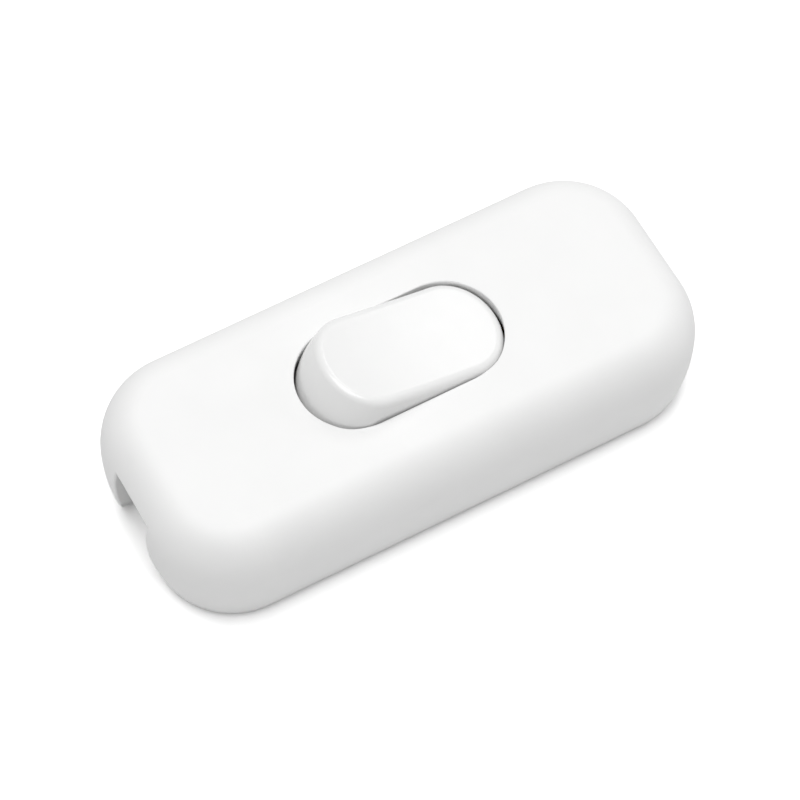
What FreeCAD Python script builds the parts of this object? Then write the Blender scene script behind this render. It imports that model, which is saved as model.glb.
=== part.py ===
import FreeCAD, Part
import math
import os

V = FreeCAD.Vector
os.makedirs("parts", exist_ok=True)

# ---------------------------------------------------------------- driving dimensions, mm
# housing
length, width, top_z = 62.0, 27.2, 13.7      # outer size, base bottom is z = 0
rim_z, wide_z = 0.3, 7.5                     # lower rim of the cover, height of the widest line
plan_r = 9.2                                 # plan corner radius
crown_in = 4.2                               # inset of the top rounding
bulge_in, bulge_z, flat_z = 2.5, 8.5, 1.5    # ellipse of the side below the widest line, height where it runs out into a straight draft
wall, roof_t = 2.6, 1.8                      # cover wall at the widest line, cover roof
base_gap, floor_t = 0.15, 1.8                # base to cover wall, base plate
# rocker
open_l, open_w, open_r = 22.6, 12.2, 0.15    # opening in the roof, rounding of its upper edge
open_y = 0.14                                # the opening's middle, from the rocker's
pivot_z = top_z - 3.0
rest_deg = 12.5                              # right end down
drum_r, drum_w, drum_lean = 11.28, 11.8, 0.02 # swept radius of the ends, width at the pivot, draft of the sides
drum_end_r = 4.5                             # plan length of the rounded ends
drum_gap, drum_x, drum_z = 0.2, 0.1, -0.4    # clearance in the cover, middle of the rocker's wheel from the pivot
dish_z, dish_r = 4.55, 103.0                 # top face above the pivot, radius of its dish
rocker_edge, rocker_wall = 0.85, 1.3
skirt_z = -2.2                               # lower edge of the rocker, from the pivot
pin_r, pin_gap, pin_end = 1.2, 0.05, 7.7     # trunnions
ear_in, ear_out, ear_half = 6.25, 8.1, 2.6
# plunger and spring, from the pivot, along the rocker's own axis
tube_r, bore_r, tube_z, bore_top = 2.6, 1.55, -2.0, 2.4
plunger_r, plunger_top, plunger_low = 1.5, 0.4, -3.6
cup_r, cup_low = 1.05, -2.4
tip_r, tip_z = 1.2, -5.01
wire_r, coil_r, coils = 0.15, 0.8, 8
# contact see-saw
fulcrum_z, wing_deg, wing_l, wing_t, wing_half = 4.1, 9.5, 8.6, 0.6, 1.5
bridge_deg = 7.0                             # tilt at rest, left end down
contact_s, contact_r, contact_t, shank_r = 7.9, 1.2, 0.5, 0.6
lug_r, lug_gap, lug_end = 0.45, 0.05, 2.75
# strips and terminals
strip_t = 0.6
cage_x, cage_y, cage_l, cage_h, cage_wall = 16.5, 4.4, 5.0, 5.6, 0.8
cage_sink = 0.8                              # depth of the pocket in the base
term_r = 1.5
# fixings
fix_x, fix_y = 11.0, 8.3                     # housing screws at (-x, +y) and (+x, -y)
fix_r, fix_head_r, fix_bore_r = 1.1, 1.9, 2.05
clamp_x, clamp_y, clamp_half = 24.5, 6.1, 1.9
cord_r, cord_z = 3.0, 5.5
notch_half, notch_z = 3.45, 10.2
foot_half, foot_z = 4.7, 3.2                 # wider lower part of the cord notch
notch_r, jamb_r = 0.35, 0.3                  # corners of the step, outer edges of the jambs

NODES = {}


def box(x0, x1, y0, y1, z0, z1):
    return Part.makeBox(x1 - x0, y1 - y0, z1 - z0, V(x0, y0, z0))


def cyl(r, z0, z1, x=0.0, y=0.0):
    return Part.makeCylinder(r, z1 - z0, V(x, y, z0))


def rod_y(r, y0, y1, x=0.0, z=0.0):
    return Part.makeCylinder(r, y1 - y0, V(x, y0, z), V(0, 1, 0))


def rod_x(r, x0, x1, y=0.0, z=0.0):
    return Part.makeCylinder(r, x1 - x0, V(x0, y, z), V(1, 0, 0))


def one(first, others):
    return first.multiFuse(others).removeSplitter()


def moved(shape, x=0.0, y=0.0, z=0.0):
    s = shape.copy()
    s.translate(V(x, y, z))
    return s


def turned(shape, deg, axis=V(0, 0, 1), about=V(0, 0, 0)):
    s = shape.copy()
    s.rotate(about, axis, deg)
    return s


def poly_xz(points, y0, y1):
    wire = Part.makePolygon([V(x, y0, z) for x, z in points + points[:1]])
    return Part.Face(wire).extrude(V(0, y1 - y0, 0))


def slab(l, w, r, z0, z1):
    """Rounded rectangle in plan, standing from z0 to z1."""
    a, b = l / 2 - r, w / 2 - r
    parts = [box(-a, a, -w / 2, w / 2, z0, z1)]
    if b > 1e-6:
        parts.append(box(-l / 2, l / 2, -b, b, z0, z1))
        parts += [cyl(r, z0, z1, sx * a, sy * b) for sx in (-1, 1) for sy in (-1, 1)]
    else:
        parts += [cyl(r, z0, z1, sx * a, 0) for sx in (-1, 1)]
    return one(parts[0], parts[1:])


def pillow(l, w, r, section):
    """Rounded body: one section of edges (u outwards, z up) carried round a rounded rectangle."""
    a, b = l / 2 - r, w / 2 - r
    face = Part.Face(Part.Wire(section))
    zs = [v.Point.z for v in face.Vertexes]
    corner = face.revolve(V(0, 0, 0), V(0, 0, 1), 90)
    end = moved(face, 0, -b).extrude(V(0, 2 * b, 0))
    side = moved(turned(face, 90), a, 0).extrude(V(-2 * a, 0, 0))
    parts = [moved(corner, a, b), moved(turned(corner, 90), -a, b), moved(turned(corner, 180), -a, -b), moved(turned(corner, 270), a, -b)]
    parts += [moved(end, a), moved(turned(end, 180), -a), moved(side, 0, b), moved(turned(side, 180), 0, -b)]
    return one(box(-a, a, -b, b, min(zs), max(zs)), parts)


def arc(cu, cz, du, dz, u1=None, z1=None):
    """Ellipse from (cu, cz + dz), or from (u1, z1), to (cu + du, cz); dz is the longer half axis."""
    e = Part.Ellipse(V(cu, 0, cz + dz), V(cu + du, 0, cz), V(cu, 0, cz))
    p = e.parameter(V(cu, 0, cz + dz) if z1 is None else V(u1, 0, z1)), e.parameter(V(cu + du, 0, cz))
    return Part.ArcOfEllipse(e, min(p), max(p)).toShape()


def seg(u0, z0, u1, z1):
    return Part.makeLine(V(u0, 0, z0), V(u1, 0, z1))


def drum(r, w, end_r, skin=0.0):
    """Wheel about Y, its sides drawn in a little outwards, whose rim is the half round end of the rocker's plan outline."""
    h, c, e = w / 2 - skin, r - end_r, end_r - skin
    g = h - drum_lean * c
    oval = Part.Ellipse(V(c, g, 0), V(c + e, 0, 0), V(c, 0, 0))
    rim = [Part.ArcOfEllipse(oval, *sorted((oval.parameter(V(c + e, 0, 0)), oval.parameter(V(c, s * g, 0))))).toShape() for s in (-1, 1)]
    wire = Part.Wire(Part.__sortEdges__([Part.makeLine(V(0, -h, 0), V(c, -g, 0)), *rim, Part.makeLine(V(c, g, 0), V(0, h, 0)), Part.makeLine(V(0, h, 0), V(0, -h, 0))]))
    return Part.Face(wire).revolve(V(0, 0, 0), V(0, 1, 0), 360)


# ---------------------------------------------------------------- cover
drop = wide_z - flat_z
flat_u = plan_r - bulge_in * (1 - math.sqrt(1 - (drop / bulge_z) ** 2))
rim_u = flat_u - bulge_in * drop / (bulge_z * math.sqrt(bulge_z ** 2 - drop ** 2)) * (flat_z - rim_z)
outer = pillow(length, width, plan_r, [
    seg(0, rim_z, rim_u - 0.2, rim_z),
    seg(rim_u - 0.2, rim_z, rim_u + 0.04, rim_z + 0.15),
    seg(rim_u + 0.04, rim_z + 0.15, flat_u, flat_z),
    arc(plan_r - bulge_in, wide_z, bulge_in, -bulge_z, flat_u, flat_z),
    arc(plan_r - crown_in, wide_z, crown_in, top_z - wide_z),
    seg(plan_r - crown_in, top_z, 0, top_z),
    seg(0, top_z, 0, rim_z)])
outer = outer.cut(moved(slab(open_l, open_w, open_w / 2, top_z - roof_t - 1.0, top_z + 1.0), 0, open_y))
lip = [e for e in outer.Edges if abs(e.BoundBox.ZMin - top_z) < 1e-4 and abs(e.BoundBox.ZMax - top_z) < 1e-4
       and e.BoundBox.XMax < open_l / 2 + 0.1 and e.BoundBox.XMin > -open_l / 2 - 0.1 and abs(e.CenterOfMass.y - open_y) < open_w / 2 + 0.1]
outer = outer.makeFillet(open_r, lip)

roof_z = top_z - roof_t
in_l, in_w, in_r = length - 2 * wall, width - 2 * wall, plan_r - wall
hollow_in, hollow_rise = 3.0, 3.5
cavity = pillow(in_l, in_w, in_r, [
    seg(0, rim_z - 1, in_r, rim_z - 1),
    seg(in_r, rim_z - 1, in_r, roof_z - hollow_rise),
    arc(in_r - hollow_in, roof_z - hollow_rise, hollow_in, hollow_rise),
    seg(in_r - hollow_in, roof_z, 0, roof_z),
    seg(0, roof_z, 0, rim_z - 1)])
cover = outer.cut(cavity)

boss_z = 3.4                                  # top of the base bosses under the cover's posts
posts = []
for sx, sy in ((-1, 1), (1, -1)):
    posts.append(cyl(2.3, boss_z + 0.1, roof_z + 0.5, sx * fix_x, sy * fix_y).common(pillow(length - 2.0, width - 2.0, plan_r - 1.0, [
        seg(0, rim_z, plan_r - 1.0, rim_z), seg(plan_r - 1.0, rim_z, plan_r - 1.0, 10.0),
        seg(plan_r - 1.0, 10.0, plan_r - 3.5, roof_z + 0.6), seg(plan_r - 3.5, roof_z + 0.6, 0, roof_z + 0.6), seg(0, roof_z + 0.6, 0, rim_z)])))
ears = []
for sy in (-1, 1):
    y0, y1 = sorted((sy * ear_in, sy * ear_out))
    ears.append(box(-ear_half, ear_half, y0, y1, pivot_z, roof_z + 0.5).fuse(rod_y(ear_half, y0, y1, 0, pivot_z)))
cover = one(cover, posts + ears)
cover = cover.cut(moved(drum(drum_r + drum_gap, drum_w + 0.1, drum_end_r), 0, 0, pivot_z))
cover = cover.cut(rod_y(pin_r + pin_gap, -ear_out - 1, ear_out + 1, 0, pivot_z).common(box(-3, 3, -pin_end - 0.3, pin_end + 0.3, 0, top_z)))
for sx, sy in ((-1, 1), (1, -1)):
    cover = cover.cut(cyl(fix_r + 0.03, boss_z, 9.6, sx * fix_x, sy * fix_y))
for sx in (-1, 1):
    x0, x1 = sorted((sx * (length / 2 - wall - 0.6), sx * (length / 2 + 2)))
    n = box(x0, x1, -notch_half, notch_half, rim_z - 1, notch_z)
    cover = cover.cut(n).removeSplitter()
    jambs = [e for e in cover.Edges if abs(abs(e.CenterOfMass.y) - notch_half) < 1e-4 and e.BoundBox.YLength < 1e-4 and e.BoundBox.ZLength > 1.0
             and sx * e.CenterOfMass.x > length / 2 - 1.2]
    cover = cover.makeFillet(jamb_r, jambs)
    n = one(n, [box(x0, x1, -foot_half, foot_half, rim_z - 1, foot_z)])
    n = n.makeFillet(notch_r, [e for e in n.Edges if abs(e.BoundBox.ZMin - foot_z) < 1e-5 and abs(e.BoundBox.ZMax - foot_z) < 1e-5
                               and abs(abs(e.CenterOfMass.y) - notch_half) < 1e-5 and e.BoundBox.YLength < 1e-5])
    cover = cover.cut(n)
NODES["cover"] = cover.removeSplitter()

# ---------------------------------------------------------------- base
base_l, base_w, base_r = in_l - 2 * base_gap, in_w - 2 * base_gap, in_r - base_gap
plate = slab(base_l, base_w, base_r, 0, floor_t)
plate = plate.makeChamfer(0.35, [e for e in plate.Edges if abs(e.BoundBox.ZMax) < 1e-5])
saddle_h, clamp_boss_r, clamp_boss_z = cord_z, 2.2, cord_z + 1.7
adds = []
for sx in (-1, 1):
    x0, x1 = sx * clamp_x - 2.0, sx * clamp_x + 2.0
    adds.append(box(x0, x1, -clamp_y, clamp_y, floor_t - 0.5, saddle_h))
    for sy in (-1, 1):
        adds.append(cyl(clamp_boss_r, floor_t - 0.5, clamp_boss_z, sx * clamp_x, sy * clamp_y))
    x0, x1 = sorted((sx * 13.6, sx * 20.4))
    adds.append(box(x0, x1, -0.6, 0.6, floor_t - 0.5, 6.6))          # rib between the terminals
for sx, sy in ((-1, 1), (1, -1)):
    adds.append(cyl(2.6, floor_t - 0.5, boss_z, sx * fix_x, sy * fix_y).common(slab(base_l, base_w, base_r, 0, boss_z)))
rest_top = fulcrum_z - 0.04
adds.append(box(-8.4, -7.2, -1.4, 1.4, floor_t - 0.5, rest_top))     # rest for the see-saw's free end
raise_z = 2.47                                                       # seat of the fixed contact
adds.append(box(6.8, 9.0, -1.4, 1.9, floor_t - 0.5, raise_z))
base = one(plate, adds)
for sx in (-1, 1):
    base = base.cut(rod_x(cord_r, sx * clamp_x - 2.5, sx * clamp_x + 2.5, 0, cord_z))
    for sy in (-1, 1):
        base = base.cut(cyl(fix_r + 0.03, 3.0, clamp_boss_z + 1, sx * clamp_x, sy * clamp_y))
        base = base.cut(box(sx * cage_x - cage_l / 2 - 0.05, sx * cage_x + cage_l / 2 + 0.05, sy * cage_y - cage_l / 2 - 0.05,
                            sy * cage_y + cage_l / 2 + 0.05, floor_t - cage_sink, floor_t + 0.01))
for sx, sy in ((-1, 1), (1, -1)):
    base = base.cut(cyl(fix_bore_r, -1, 2.1, sx * fix_x, sy * fix_y)).cut(cyl(fix_r + 0.15, 1, boss_z + 1, sx * fix_x, sy * fix_y))
NODES["base"] = base.removeSplitter()


# ---------------------------------------------------------------- screws
def screw(shank_z0, head_z0, r, head_r, head_h, x, y, up=True, cross=False):
    """Pan head screw; the head is above its seat when up, else below."""
    s = cyl(r, min(shank_z0, head_z0), max(shank_z0, head_z0))
    h0, h1 = (head_z0, head_z0 + head_h) if up else (head_z0 - head_h, head_z0)
    head = cyl(head_r, h0, h1)
    rim = [e for e in head.Edges if len(e.Vertexes) == 1 and abs(e.BoundBox.ZMin - (h1 if up else h0)) < 1e-5]
    head = head.makeFillet(head_h * 0.45, rim)
    s = s.fuse(head)
    tip = [e for e in s.Edges if len(e.Vertexes) == 1 and abs(e.BoundBox.ZMin - shank_z0) < 1e-5 and abs(e.BoundBox.ZMax - shank_z0) < 1e-5]
    s = s.makeChamfer(r * 0.4, tip)
    d0, d1 = (h1 - head_h * 0.55, h1 + 1) if up else (h0 - 1, h0 + head_h * 0.55)
    g = head_r * 0.14
    if cross:
        c = head_r * 0.62
        s = s.cut(box(-c, c, -g, g, d0, d1)).cut(box(-g, g, -c, c, d0, d1))
    else:
        s = s.cut(box(-head_r - 1, head_r + 1, -g, g, d0, d1))
    return moved(turned(s, 25 + 40 * (x > 0) + 17 * (y > 0)), x, y)


NODES["housing_screws"] = Part.makeCompound([screw(9.2, 2.1, fix_r, fix_head_r, 1.5, sx * fix_x, sy * fix_y, False, True) for sx, sy in ((-1, 1), (1, -1))])
NODES["terminal_screws"] = Part.makeCompound([screw(3.5, 7.1, term_r, 2.25, 1.7, sx * cage_x, sy * cage_y) for sx in (-1, 1) for sy in (-1, 1)])

# ---------------------------------------------------------------- cord clamps
clamp_z0, clamp_z1 = clamp_boss_z + 0.1, clamp_boss_z + 2.1
NODES["cord_clamp_screws"] = Part.makeCompound(
    [screw(3.4, clamp_z1, fix_r, 2.0, 1.3, sx * clamp_x, sy * clamp_y, True, True) for sx in (-1, 1) for sy in (-1, 1)])
for name, sx in (("cord_clamp_left", -1), ("cord_clamp_right", 1)):
    bar = moved(turned(slab(2 * clamp_y + 2 * clamp_half, 2 * clamp_half, clamp_half, clamp_z0, clamp_z1), 90), sx * clamp_x)
    bar = bar.makeFillet(0.35, [e for e in bar.Edges if abs(e.BoundBox.ZMin - clamp_z1) < 1e-5])
    bar = bar.cut(rod_x(cord_r, sx * clamp_x - 3, sx * clamp_x + 3, 0, cord_z))
    for sy in (-1, 1):
        bar = bar.cut(cyl(fix_r + 0.15, clamp_z0 - 1, clamp_z1 + 1, sx * clamp_x, sy * clamp_y))
    NODES[name] = bar

# ---------------------------------------------------------------- rocker, built upright about its pivot, then tilted to rest
under_dish = box(-20, 20, -20, 20, -20, dish_z + 5).cut(rod_y(dish_r, -25, 25, 0, dish_z + dish_r))
rocker = moved(drum(drum_r, drum_w, drum_end_r), drum_x, 0, drum_z).common(under_dish).common(box(-20, 20, -20, 20, skirt_z, 20))
top_face = max((f for f in rocker.Faces if f.CenterOfMass.z > dish_z - 0.5), key=lambda f: f.Area)
rocker = rocker.makeFillet(rocker_edge, top_face.Edges)
inside = moved(drum(drum_r, drum_w, drum_end_r, rocker_wall), drum_x, 0, drum_z).common(box(-20, 20, -20, 20, skirt_z - 1, dish_z - 1.45))
rocker = rocker.cut(inside)
rocker = one(rocker, [cyl(tube_r, tube_z, dish_z - 0.8), rod_y(pin_r, -pin_end, -drum_w / 2 + 0.6), rod_y(pin_r, drum_w / 2 - 0.6, pin_end)])
rocker = rocker.cut(cyl(bore_r, tube_z - 1, bore_top))
rocker = rocker.fuse(cyl(0.5, bore_top - 0.7, bore_top + 0.2)).removeSplitter()

plunger = one(cyl(plunger_r, plunger_low, plunger_top), [cyl(tip_r, tip_z, plunger_low + 0.2), Part.makeSphere(tip_r, V(0, 0, tip_z))])
plunger = plunger.cut(cyl(cup_r, cup_low, plunger_top + 1))

spring_z0, spring_z1 = cup_low + wire_r + 0.02, bore_top - wire_r - 0.02
helix = Part.makeHelix((spring_z1 - spring_z0) / coils, spring_z1 - spring_z0, coil_r)
ring = Part.Wire(Part.makeCircle(wire_r, V(coil_r, 0, 0), V(0, 1, 0)))
spring = moved(Part.Wire(helix).makePipeShell([ring], True, True), 0, 0, spring_z0)

for name, shape in (("rocker", rocker), ("plunger", plunger), ("plunger_spring", spring)):
    NODES[name] = moved(turned(shape, rest_deg, V(0, 1, 0)), 0, 0, pivot_z)

# ---------------------------------------------------------------- contact see-saw, built level about its fulcrum, then tilted to rest
al = math.radians(wing_deg)
ux, uz = math.cos(al), math.sin(al)
v_top, v_low = wing_t / 2, wing_t / 2 - wing_t / ux
tip_hi = (wing_l * ux, v_top + wing_l * uz)
tip_lo = (tip_hi[0] + wing_t * uz, tip_hi[1] - wing_t * ux)
bridge = poly_xz([(0, v_top), tip_hi, tip_lo, (0, v_low), (-tip_lo[0], tip_lo[1]), (-tip_hi[0], tip_hi[1])], -wing_half, wing_half)
lugs = [rod_y(lug_r, -lug_end, -wing_half + 0.1), rod_y(lug_r, wing_half - 0.1, lug_end)]
bridge = one(bridge, lugs)


def on_wing(shape):
    """A rivet drawn along Z, its seat at z = 0, placed under the right wing."""
    s = turned(shape, -wing_deg, V(0, 1, 0))
    return moved(s, contact_s * ux + wing_t * uz, 0, v_top + contact_s * uz - wing_t * ux)


def rivet(down):
    """Contact rivet: domed head on one side of its seat, shank the thickness of the strip on the other."""
    head = cyl(contact_r, -contact_t, 0)
    head = head.makeFillet(0.3, [e for e in head.Edges if len(e.Vertexes) == 1 and abs(e.BoundBox.ZMin + contact_t) < 1e-5 and abs(e.BoundBox.ZMax + contact_t) < 1e-5])
    r = head.fuse(cyl(shank_r, -0.1, wing_t)).removeSplitter()
    return r if down else turned(r, 180, V(1, 0, 0))


bridge = bridge.cut(on_wing(cyl(shank_r + 0.02, -1, wing_t + 1)))
for name, shape in (("contact_bridge", bridge), ("moving_contact", on_wing(rivet(True)))):
    NODES[name] = moved(turned(shape, -bridge_deg, V(0, 1, 0)), 0, 0, fulcrum_z)

# ---------------------------------------------------------------- strips
s0, s1 = floor_t, floor_t + strip_t
tab_in, tab_out = cage_y - 1.5, cage_y + 1.5
cheek_in, cheek_out, cheek_half = 1.75, 2.35, 1.9
fix_contact_x = contact_s * ux + wing_t * uz
line = one(box(-19, -13.2, tab_in, tab_out, s0, s1), [
    box(-13.3, 2.0, tab_in, 5.2, s0, s1), box(-2.0, 2.0, -cheek_out, tab_in + 0.1, s0, s1),
    box(-cheek_half, cheek_half, cheek_in, cheek_out, s0, fulcrum_z + 0.7), box(-cheek_half, cheek_half, -cheek_out, -cheek_in, s0, fulcrum_z + 0.7)])
line = line.cut(rod_y(lug_r + lug_gap, -4, 4, 0, fulcrum_z)).cut(box(-lug_r - lug_gap, lug_r + lug_gap, -4, 4, fulcrum_z, fulcrum_z + 2))
NODES["line_strip"] = line.removeSplitter()

load = one(box(13.2, 19, tab_in, tab_out, s0, s1), [
    box(6.5, 13.3, tab_in, 5.2, s0, s1), box(6.5, 9.3, tab_in - 0.6, tab_in + 0.1, s0, raise_z + strip_t),
    box(6.5, 9.3, -1.5, tab_in, raise_z, raise_z + strip_t)])
load = load.cut(cyl(shank_r + 0.02, 0, 6, fix_contact_x))
NODES["load_strip"] = load.removeSplitter()
NODES["fixed_contact"] = moved(rivet(False), fix_contact_x, 0, raise_z + strip_t)

NODES["neutral_link"] = one(box(-19, -13.2, -tab_out, -tab_in, s0, s1), [
    box(-13.3, 13.3, -5.2, -3.2, s0, s1), box(13.2, 19, -tab_out, -tab_in, s0, s1)])

# ---------------------------------------------------------------- terminal cages
for name, sx, sy in (("line_terminal", -1, 1), ("load_terminal", 1, 1), ("neutral_terminal_left", -1, -1), ("neutral_terminal_right", 1, -1)):
    z0 = floor_t - cage_sink
    cage = box(-cage_l / 2, cage_l / 2, -cage_l / 2, cage_l / 2, z0, z0 + cage_h)
    cage = cage.makeFillet(0.5, [e for e in cage.Edges if abs(e.BoundBox.XMax - e.BoundBox.XMin - cage_l) < 1e-5])
    cage = cage.cut(box(-5, 5, -cage_l / 2 + cage_wall, cage_l / 2 - cage_wall, floor_t, floor_t + 3.2)).cut(cyl(term_r + 0.03, 4, 12))
    NODES[name] = moved(cage, sx * cage_x, sy * cage_y)

for name, shape in NODES.items():
    shape.exportStep("parts/%s.step" % name)
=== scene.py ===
import math

import bmesh
import bpy
from mathutils import Matrix, Vector


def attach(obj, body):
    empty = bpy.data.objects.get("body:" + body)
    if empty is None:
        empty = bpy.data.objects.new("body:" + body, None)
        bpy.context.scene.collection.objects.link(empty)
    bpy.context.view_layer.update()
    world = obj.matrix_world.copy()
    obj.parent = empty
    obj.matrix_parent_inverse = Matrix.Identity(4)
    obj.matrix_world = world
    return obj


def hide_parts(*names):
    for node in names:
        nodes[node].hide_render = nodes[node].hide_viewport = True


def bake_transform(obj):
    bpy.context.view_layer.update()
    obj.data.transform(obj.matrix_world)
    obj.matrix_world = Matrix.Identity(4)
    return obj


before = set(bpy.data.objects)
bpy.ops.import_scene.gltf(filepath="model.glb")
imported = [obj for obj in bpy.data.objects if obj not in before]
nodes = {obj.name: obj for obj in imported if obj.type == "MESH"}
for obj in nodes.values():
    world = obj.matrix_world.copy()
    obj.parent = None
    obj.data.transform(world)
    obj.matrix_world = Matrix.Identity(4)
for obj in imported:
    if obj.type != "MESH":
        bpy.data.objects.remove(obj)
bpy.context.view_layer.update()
scene = bpy.context.scene
MM = 0.001

# ---------------------------------------------------------------- camera
AZ, EL, ROLL = math.radians(-28.548), math.radians(60.254), math.radians(-0.085)
DIST, FOCAL_PX = 0.39723, 3818.5
OFF_X, OFF_Y = 0.227, 20.914        # where the middle of the rim plane falls, in pixels right of and below the picture's centre
CENTRE = Vector((0, 0, 0.3 * MM))

back = Vector((math.sin(AZ) * math.cos(EL), -math.cos(AZ) * math.cos(EL), math.sin(EL)))
right = Vector((math.cos(AZ), math.sin(AZ), 0))
up = back.cross(right)
right, up = math.cos(ROLL) * right + math.sin(ROLL) * up, -math.sin(ROLL) * right + math.cos(ROLL) * up
eye = CENTRE + back * DIST
aim = CENTRE + up * (OFF_Y / FOCAL_PX * DIST) - right * (OFF_X / FOCAL_PX * DIST)
zc = (eye - aim).normalized()
xc = (right - zc * right.dot(zc)).normalized()
yc = zc.cross(xc)
cam_data = bpy.data.cameras.new("camera")
cam_data.sensor_fit = "HORIZONTAL"
cam_data.sensor_width = 36.0
cam_data.lens = 36.0 * FOCAL_PX / 800.0
cam_data.clip_start, cam_data.clip_end = 0.01, 20.0
camera = bpy.data.objects.new("camera", cam_data)
camera.matrix_world = Matrix.Translation(eye) @ Matrix((xc, yc, zc)).transposed().to_4x4()
scene.collection.objects.link(camera)
scene.camera = camera


# ---------------------------------------------------------------- materials
class Mat:
    """Small helper around one node material."""

    def __init__(self, name):
        self.m = bpy.data.materials.new(name)
        self.m.use_nodes = True
        self.t = self.m.node_tree
        self.bsdf = self.t.nodes["Principled BSDF"]
        self.coord = self.t.nodes.new("ShaderNodeTexCoord")

    def node(self, kind, **values):
        n = self.t.nodes.new(kind)
        for k, v in values.items():
            if k in n.inputs:
                n.inputs[k].default_value = v
            else:
                setattr(n, k, v)
        return n

    def link(self, a, b):
        self.t.links.new(a, b)

    def noise(self, scale, detail=2.0, rough=0.5, stretch=None, distortion=0.0):
        n = self.node("ShaderNodeTexNoise", Scale=scale, Detail=detail, Roughness=rough, Distortion=distortion)
        if stretch:
            p = self.node("ShaderNodeMapping")
            p.inputs["Scale"].default_value = stretch
            self.link(self.coord.outputs["Object"], p.inputs["Vector"])
            self.link(p.outputs["Vector"], n.inputs["Vector"])
        else:
            self.link(self.coord.outputs["Object"], n.inputs["Vector"])
        return n.outputs["Fac"]

    def spread(self, fac, lo, hi, a=0.35, b=0.65):
        n = self.node("ShaderNodeMapRange")
        n.inputs["From Min"].default_value, n.inputs["From Max"].default_value = a, b
        n.inputs["To Min"].default_value, n.inputs["To Max"].default_value = lo, hi
        self.link(fac, n.inputs["Value"])
        return n.outputs["Result"]

    def ramp(self, fac, stops):
        n = self.node("ShaderNodeValToRGB")
        e = n.color_ramp.elements
        e[0].position, e[0].color = stops[0][0], (*stops[0][1], 1)
        e[1].position, e[1].color = stops[-1][0], (*stops[-1][1], 1)
        for pos, col in stops[1:-1]:
            x = e.new(pos)
            x.color = (*col, 1)
        self.link(fac, n.inputs["Fac"])
        return n.outputs["Color"]

    def bump(self, *layers):
        """layers: (height socket, strength, distance in metres)"""
        last = None
        for h, strength, dist in layers:
            b = self.node("ShaderNodeBump", Strength=strength, Distance=dist)
            self.link(h, b.inputs["Height"])
            if last:
                self.link(last.outputs["Normal"], b.inputs["Normal"])
            last = b
        self.link(last.outputs["Normal"], self.bsdf.inputs["Normal"])

    def set(self, **values):
        for k, v in values.items():
            self.bsdf.inputs[k.replace("_", " ")].default_value = v


def plastic(name, low, high, rough, grain=9000.0, grain_depth=0.4, flow=True):
    """Moulded plastic: faint cloudy tone, uneven gloss, fine spark texture and very shallow flow waviness."""
    m = Mat(name)
    m.link(m.ramp(m.noise(140.0, 4.0, 0.55), [(0.3, low), (0.7, high)]), m.bsdf.inputs["Base Color"])
    m.link(m.spread(m.noise(420.0, 5.0, 0.6), rough[0], rough[1]), m.bsdf.inputs["Roughness"])
    layers = [(m.noise(grain, 3.0, 0.6), grain_depth, 0.000012)]
    if flow:
        layers.append((m.noise(90.0, 2.0, 0.4), 0.25, 0.00006))
    m.bump(*layers)
    m.set(IOR=1.49)
    return m.m


def metal(name, low, high, rough, stretch=(1, 1, 1), brush=9000.0, spots=None):
    """Drawn or plated metal: tone and roughness vary, with fine brushing along one direction."""
    m = Mat(name)
    tone = m.noise(900.0, 4.0, 0.6)
    stops = [(0.3, low), (0.68, high)]
    m.link(m.ramp(tone, stops), m.bsdf.inputs["Base Color"])
    line = m.noise(brush, 3.0, 0.6, stretch)
    m.link(m.spread(line, rough[0], rough[1]), m.bsdf.inputs["Roughness"])
    m.bump((line, 0.3, 0.000008), (m.noise(700.0, 2.0), 0.2, 0.00002))
    m.set(Metallic=1.0)
    return m.m


COVER = plastic("cover_plastic", (0.849, 0.850, 0.847), (0.866, 0.867, 0.864), (0.56, 0.64))
ROCKER = plastic("rocker_plastic", (0.825, 0.826, 0.823), (0.84, 0.841, 0.838), (0.19, 0.25), grain_depth=0.12)
BASE = plastic("base_plastic", (0.80, 0.80, 0.79), (0.83, 0.83, 0.82), (0.48, 0.6), grain=6000.0, grain_depth=0.7)
CLAMP = plastic("clamp_plastic", (0.73, 0.72, 0.69), (0.77, 0.76, 0.73), (0.45, 0.58), grain=6000.0, grain_depth=0.6)
NYLON = plastic("plunger_nylon", (0.72, 0.69, 0.58), (0.78, 0.75, 0.65), (0.3, 0.42), grain=5000.0, grain_depth=0.3)
BRASS = metal("strip_brass", (0.71, 0.51, 0.22), (0.80, 0.60, 0.28), (0.18, 0.36), (0.06, 1, 1))
CAGE = metal("terminal_brass", (0.65, 0.47, 0.20), (0.74, 0.55, 0.26), (0.22, 0.42), (0.1, 1, 1))
SILVER = metal("contact_silver", (0.72, 0.72, 0.70), (0.90, 0.90, 0.88), (0.16, 0.3))
SCREW = metal("screw_zinc", (0.50, 0.51, 0.53), (0.68, 0.69, 0.70), (0.24, 0.42))
SPRING = metal("spring_steel", (0.36, 0.36, 0.37), (0.52, 0.52, 0.53), (0.2, 0.34))

FINISH = {
    "cover": COVER, "rocker": ROCKER, "base": BASE, "cord_clamp_left": CLAMP, "cord_clamp_right": CLAMP, "plunger": NYLON,
    "contact_bridge": BRASS, "line_strip": BRASS, "load_strip": BRASS, "neutral_link": BRASS,
    "line_terminal": CAGE, "load_terminal": CAGE, "neutral_terminal_left": CAGE, "neutral_terminal_right": CAGE,
    "moving_contact": SILVER, "fixed_contact": SILVER, "housing_screws": SCREW, "terminal_screws": SCREW, "cord_clamp_screws": SCREW,
    "plunger_spring": SPRING,
}
for name, obj in nodes.items():
    obj.data.materials.clear()
    obj.data.materials.append(FINISH[name])

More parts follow.
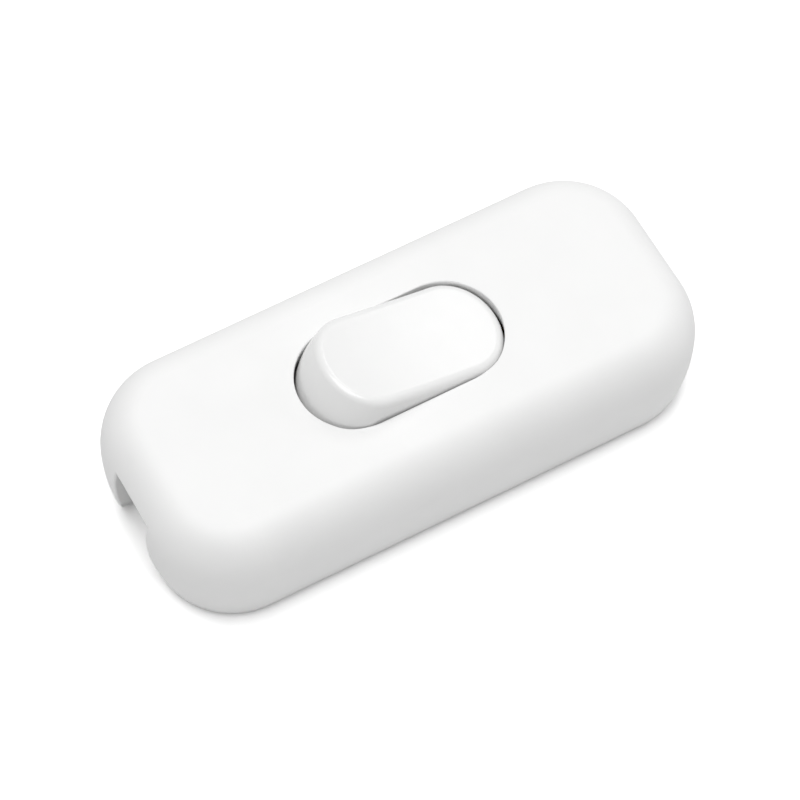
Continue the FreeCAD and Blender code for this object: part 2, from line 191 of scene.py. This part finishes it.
# ---------------------------------------------------------------- pieces built here, in mm
def settle(me, material, sharp):
    """Outward normals, smooth faces with the real edges kept sharp, and the finish."""
    bm = bmesh.new()
    bm.from_mesh(me)
    bmesh.ops.recalc_face_normals(bm, faces=bm.faces)
    bm.to_mesh(me)
    bm.free()
    me.shade_smooth()
    me.set_sharp_from_angle(angle=math.radians(sharp))
    me.materials.clear()
    me.materials.append(material)


def new_piece(name, verts, faces, material, sharp=38.0):
    me = bpy.data.meshes.new(name)
    me.from_pydata([tuple(c * MM for c in v) for v in verts], [], faces)
    settle(me, material, sharp)
    o = bpy.data.objects.new(name, me)
    scene.collection.objects.link(o)
    return o


def ease(t):
    t = min(max(t, 0.0), 1.0)
    return t * t * (3 - 2 * t)


def threaded(name, r, root, pitch, length, head_r, head_h, cross, n=40):
    """Pan head screw along Z: seat of the head at z = 0, tip at -length, with a true helical thread and a drive recess."""
    verts, faces = [], []

    def ring(rad, z):
        k = len(verts)
        verts.extend((rad * math.cos(2 * math.pi * i / n), rad * math.sin(2 * math.pi * i / n), z) for i in range(n))
        return [k + i for i in range(n)]

    def bridge(a, b):
        faces.extend((a[i], a[(i + 1) % n], b[(i + 1) % n], b[i]) for i in range(n))

    tip = ring(0.5 * root, -length)
    faces.append(tuple(reversed(tip)))
    low = ring(root, -length + 0.45 * r)
    bridge(tip, low)
    z0, z1 = -length + 0.45 * r + 0.04, -0.45
    turns = int((z1 - z0 - 0.04) / pitch)
    top = ring(root, max(z1, z0 + (turns + 1) * pitch + 0.03) if z0 + (turns + 1) * pitch + 0.03 < -0.25 else z0 + turns * pitch + 0.86 * pitch)
    turns = int((verts[top[0]][2] - z0) / pitch)
    shape = ((0.0, 0), (0.36, 1), (0.46, 1), (0.82, 0))       # root, crest, crest, root over one pitch
    k0 = len(verts)
    for q in range(turns * n + 1):
        u = q / n
        grow = ease(min(u, turns - u) / 0.8)
        for s, crest in shape:
            rad = root + (r - root) * grow * crest
            a = 2 * math.pi * u
            verts.append((rad * math.cos(a), rad * math.sin(a), z0 + pitch * (u + s)))

    def at(q, j):
        return k0 + 4 * q + j

    for q in range(turns * n):
        faces.extend((at(q, j), at(q + 1, j), at(q + 1, j + 1), at(q, j + 1)) for j in range(3))
        if q < (turns - 1) * n:
            faces.append((at(q, 3), at(q + 1, 3), at(q + 1 + n, 0), at(q + n, 0)))
    faces.extend((low[i], low[i + 1], at(i + 1, 0), at(i, 0)) for i in range(n - 1))
    faces.append((low[n - 1], low[0], at(0, 0), at(0, 1), at(0, 2), at(0, 3), at(n, 0), at(n - 1, 0)))
    e = (turns - 1) * n
    faces.append((at(e, 3), at(e + n, 0), at(e + n, 1), at(e + n, 2), at(e + n, 3), top[0], top[1], at(e + 1, 3)))
    faces.extend((at(e + i, 3), at(e + i + 1, 3), top[(i + 1) % n], top[i]) for i in range(1, n))
    last = top
    profile = [(root, -0.16), (root + 0.04, -0.06), (root + 0.14, 0.0), (head_r - 0.06, 0.0), (head_r, 0.06), (head_r, 0.55 * head_h)]
    profile += [(head_r - 0.45 * head_h * (1 - math.cos(t * math.pi / 16)), 0.55 * head_h + 0.45 * head_h * math.sin(t * math.pi / 16)) for t in range(1, 8)]
    profile.append((head_r - 0.45 * head_h, head_h))
    for rad, z in profile:
        nxt = ring(rad, z)
        bridge(last, nxt)
        last = nxt
    faces.append(tuple(last))
    o = new_piece(name, verts, faces, SCREW)
    # drive recess
    g, deep = head_r * 0.14, head_h * 0.55
    if cross:
        c = head_r * 0.62
        outline = [(c, -g), (c, g), (g, g), (g, c), (-g, c), (-g, g), (-c, g), (-c, -g), (-g, -g), (-g, -c), (g, -c), (g, -g)]
        levels = ((head_h - deep, 0.62, 0.8), (head_h + 0.3, 1.0, 1.0))
        cv = [(x * (ks if abs(x) > 2 * g else kg), y * (ks if abs(y) > 2 * g else kg), z) for z, ks, kg in levels for x, y in outline]
        m = len(outline)
    else:
        cv = [(x, y * k, z) for z, k in ((head_h - deep, 0.9), (head_h + 0.3, 1.05)) for x, y in ((-9, -g), (9, -g), (9, g), (-9, g))]
        m = 4
    cf = [tuple(reversed(range(m))), tuple(range(m, 2 * m))] + [(i, (i + 1) % m, m + (i + 1) % m, m + i) for i in range(m)]
    tool = new_piece(name + "_tool", cv, cf, SCREW)
    mod = o.modifiers.new("recess", "BOOLEAN")
    mod.operation, mod.solver, mod.object = "DIFFERENCE", "EXACT", tool
    dg = bpy.context.evaluated_depsgraph_get()
    me = bpy.data.meshes.new_from_object(o.evaluated_get(dg), depsgraph=dg)
    bpy.data.objects.remove(o)
    bpy.data.objects.remove(tool)
    settle(me, SCREW, 38.0)
    return me


def place_screws(node, mesh, spots, seat_z, up):
    """One piece per screw, turned as the part's own screws are."""
    for k, (x, y) in enumerate(spots, 1):
        me = mesh.copy()
        turn = Matrix.Rotation(math.radians(25 + 40 * (x > 0) + 17 * (y > 0)), 4, "Z")
        flip = Matrix() if up else Matrix.Rotation(math.pi, 4, "X")
        me.transform(Matrix.Translation((x * MM, y * MM, seat_z * MM)) @ turn @ flip)
        o = bpy.data.objects.new("%s_%d" % (node, k), me)
        scene.collection.objects.link(o)
        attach(o, "housing")
        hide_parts(node)


place_screws("housing_screws", threaded("housing_screw", 1.1, 0.82, 0.79, 7.1, 1.9, 1.5, True), [(-11.0, 8.3), (11.0, -8.3)], 2.1, False)
place_screws("terminal_screws", threaded("terminal_screw", 1.5, 1.2, 0.5, 3.6, 2.25, 1.7, False),
             [(sx * 16.5, sy * 4.4) for sx in (-1, 1) for sy in (-1, 1)], 7.1, True)
place_screws("cord_clamp_screws", threaded("clamp_screw", 1.1, 0.82, 0.79, 5.9, 2.0, 1.3, True),
             [(sx * 24.5, sy * 6.1) for sx in (-1, 1) for sy in (-1, 1)], 9.3, True)


def coil_spring(name, wire, rad, z0, z1, active, lean_deg, pivot_z, sides=12, steps=28):
    """Compression spring with closed ends, standing on the rocker's own axis."""
    closed = 2 * wire + 0.01
    total = active + 2
    pitch = (z1 - z0 - 2 * closed) / active
    count = total * steps
    line, z = [], z0
    for q in range(count + 1):
        u = q / steps
        line.append((rad * math.cos(2 * math.pi * u), rad * math.sin(2 * math.pi * u), z))
        w = ease((u - 0.8) / 0.4) * ease((total - 0.8 - u) / 0.4)
        z += (closed + (pitch - closed) * w) / steps
    fit = (z1 - z0) / (line[-1][2] - z0)
    line = [Vector((x, y, z0 + (h - z0) * fit)) for x, y, h in line]
    lean = Matrix.Translation((0, 0, pivot_z)) @ Matrix.Rotation(math.radians(lean_deg), 4, "Y")
    verts, faces = [], []
    for q, p in enumerate(line):
        t = (line[min(q + 1, count)] - line[max(q - 1, 0)]).normalized()
        out = Vector((p.x, p.y, 0)).normalized()
        side = t.cross(out).normalized()
        out = side.cross(t)
        verts += [tuple(lean @ (p + wire * (math.cos(2 * math.pi * i / sides) * out + math.sin(2 * math.pi * i / sides) * side))) for i in range(sides)]
    for q in range(count):
        faces += [(q * sides + i, q * sides + (i + 1) % sides, (q + 1) * sides + (i + 1) % sides, (q + 1) * sides + i) for i in range(sides)]
    faces += [tuple(range(sides)), tuple(count * sides + i for i in range(sides))]
    o = new_piece(name, verts, faces, SPRING)
    return o, lean @ Vector((0, 0, z1)) * MM, lean @ Vector((0, 0, z0)) * MM


spring, spring_top, spring_low = coil_spring("plunger_coil", 0.15, 0.8, -2.23, 2.23, 7, 12.5, 10.7)
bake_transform(spring)
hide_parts("plunger_spring")

# ---------------------------------------------------------------- floor
FLOOR_GAIN = 1.30       # bright enough to read as plain white paper, with only the contact shadow left
floor_mesh = bpy.data.meshes.new("floor")
inner = []              # cut out under the base's flat underside, so that the two don't share a plane
for cx, cy, start in ((1, 1, 0), (-1, 1, 90), (-1, -1, 180), (1, -1, 270)):
    for step in range(0, 91, 6):
        t = math.radians(start + step)
        inner.append(((cx * 21.8 + 5.6 * math.cos(t)) * MM, (cy * 4.4 + 5.6 * math.sin(t)) * MM))
outer = [(1.5 * x / max(abs(x), abs(y)), 1.5 * y / max(abs(x), abs(y))) for x, y in inner]
n = len(inner)
floor_mesh.from_pydata([(x, y, 0) for x, y in inner + outer], [], [(n + i, n + (i + 1) % n, (i + 1) % n, i) for i in range(n)])
floor = bpy.data.objects.new("floor", floor_mesh)
floor.location.z = -0.01 * MM
scene.collection.objects.link(floor)
fm = Mat("floor_paper")
tone = fm.noise(30.0, 3.0)
fm.link(fm.ramp(tone, [(0.3, (0.87, 0.87, 0.87)), (0.7, (0.89, 0.89, 0.89))]), fm.bsdf.inputs["Base Color"])
fm.set(Roughness=0.9, Specular_IOR_Level=0.2)
seen = fm.node("ShaderNodeBsdfDiffuse")
painted_light_x = fm.node("ShaderNodeSeparateXYZ")         # painted light: the floor is painted brighter past the left end, which cuts the shadow there short
fm.link(fm.coord.outputs["Object"], painted_light_x.inputs["Vector"])
gain = fm.node("ShaderNodeVectorMath", operation="SCALE")
fm.link(fm.ramp(tone, [(0.3, (FLOOR_GAIN - 0.01,) * 3), (0.7, (FLOOR_GAIN + 0.01,) * 3)]), gain.inputs[0])
# painted light: the camera gain rises from 1.0 at x = -27 mm to 1.21 at x = -32.5 mm and beyond, lifting the shadow
# off the floor at the left end
fm.link(fm.spread(painted_light_x.outputs["X"], 1.21, 1.0, -32.5 * MM, -27 * MM), gain.inputs["Scale"])
fm.link(gain.outputs["Vector"], seen.inputs["Color"])
pick, path = fm.node("ShaderNodeMixShader"), fm.node("ShaderNodeLightPath")
fm.link(path.outputs["Is Camera Ray"], pick.inputs["Fac"])
fm.link(fm.bsdf.outputs["BSDF"], pick.inputs[1])
fm.link(seen.outputs["BSDF"], pick.inputs[2])
side, clear, sheet = fm.node("ShaderNodeNewGeometry"), fm.node("ShaderNodeBsdfTransparent"), fm.node("ShaderNodeMixShader")
fm.link(side.outputs["Backfacing"], sheet.inputs["Fac"])        # open from below, for a look at the underside
fm.link(pick.outputs["Shader"], sheet.inputs[1])
fm.link(clear.outputs["BSDF"], sheet.inputs[2])
fm.link(sheet.outputs["Shader"], fm.t.nodes["Material Output"].inputs["Surface"])
floor_mesh.materials.append(fm.m)


# ---------------------------------------------------------------- light
def area(name, where, look, size, watts, size_y=None):
    d = bpy.data.lights.new(name, "AREA")
    d.shape = "RECTANGLE"
    d.size, d.size_y = size, size_y or size
    d.energy = watts
    o = bpy.data.objects.new(name, d)
    o.location = where
    o.rotation_euler = (Vector(look) - Vector(where)).to_track_quat("-Z", "Y").to_euler()
    scene.collection.objects.link(o)
    return o


def side_box(name, az_deg, el_deg, size, watts):
    """Soft box one metre away, aimed at the part."""
    a, e = math.radians(az_deg), math.radians(el_deg)
    area(name, (math.cos(a) * math.cos(e), math.sin(a) * math.cos(e), math.sin(e)), (0, 0, 0.005), size, watts)


area("top_box", (-0.04, 0.01, 0.9), (0, 0, 0), 0.6, 5.32)
side_box("right_box", 0, 27, 0.55, 0.88)
side_box("back_box", 41, 50, 0.3, 0.84)
world = bpy.data.worlds.new("studio")
world.use_nodes = True
world.node_tree.nodes["Background"].inputs["Color"].default_value = (1, 1, 1, 1)
world.node_tree.nodes["Background"].inputs["Strength"].default_value = 0.40
scene.world = world
scene.view_settings.view_transform = "Standard"
scene.view_settings.look = "None"

bpy.context.view_layer.update()
